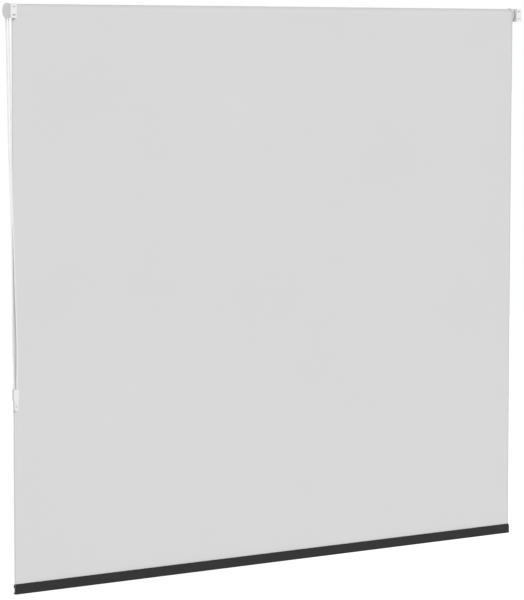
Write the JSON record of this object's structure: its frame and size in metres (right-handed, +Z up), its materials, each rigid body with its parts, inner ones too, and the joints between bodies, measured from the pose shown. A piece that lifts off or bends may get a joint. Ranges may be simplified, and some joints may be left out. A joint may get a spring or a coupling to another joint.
{
  "type": "roller blind",
  "caption": "Blackout roller blind with a cloth on a tube, folded wall brackets, a bead chain drive with a wall tensioner and a dark oval bottom bar",
  "frame": {"origin": "on the wall plane, midway between the cloth's edges, at the height of the roll's axis", "axes": "X along the roll towards the idler end, Y away from the wall, Z up"},
  "size_m": [1.5852, 0.0617, 1.5025],
  "materials": {
    "bracket": "white powder coat",
    "cover": "pale grey moulding",
    "plastic": "white moulding",
    "chain": "white moulded beads on a cord",
    "cloth": "coated blackout cloth",
    "tube": "mill finish tube",
    "steel": "bright spring steel",
    "bar": "dark coated aluminium extrusion",
    "bar_cap": "black moulding"
  },
  "bodies": {
    "wall_parts": {"clutch_bracket": "bracket", "idler_bracket": "bracket", "chain_cover": "cover", "clutch_hub": "plastic", "wrap_spring_outer": "steel", "wrap_spring_inner": "steel", "clutch_clip": "steel", "tensioner_body": "plastic", "tensioner_cover": "plastic", "tensioner_axle": "steel", "chain_front_strand": "chain", "chain_rear_strand": "chain", "chain_wheel_wrap": "chain", "chain_pulley_wrap": "chain"},
    "bar": {"bar_profile": "bar", "bar_spline": "plastic", "bar_cap_left": "bar_cap", "bar_cap_right": "bar_cap", "blind_cloth": "cloth"},
    "roll": {"clutch_crown": "plastic", "chain_wheel": "plastic", "roller_tube": "tube", "tube_spline": "plastic", "fabric_wrap": "cloth", "idler_plug": "plastic", "idler_spring": "steel"},
    "pin": {"idler_pin": "steel"},
    "pulley": {"tension_pulley": "plastic"}
  },
  "joints": [
    {"name": "bar_lift", "type": "slide", "parent": "wall_parts", "child": "bar", "axis": [0, 0, 1], "range_m": [0, 1.4], "deforming": ["blind_cloth"]},
    {"name": "roll_spin", "type": "hinge", "parent": "wall_parts", "child": "roll", "pos_m": [0, 0.042, 0], "axis": [-1, 0, 0], "range_deg": [0, 3963]},
    {"name": "idler_pin_press", "type": "slide", "parent": "roll", "child": "pin", "axis": [-1, 0, 0], "range_m": [0, 0.0045], "stiffness_N_per_m": 600, "springref_m": -0.006, "deforming": ["idler_spring"]},
    {"name": "tension_pulley_spin", "type": "hinge", "parent": "wall_parts", "child": "pulley", "pos_m": [-0.7824, 0.0055, -0.972], "axis": [0, -1, 0], "range_deg": [0, 11640]}
  ],
  "couplings": [
    {"joint": "roll_spin", "follows": "bar_lift", "rad_per_m": 49.368},
    {"joint": "tension_pulley_spin", "follows": "bar_lift", "rad_per_m": 145.06}
  ]
}
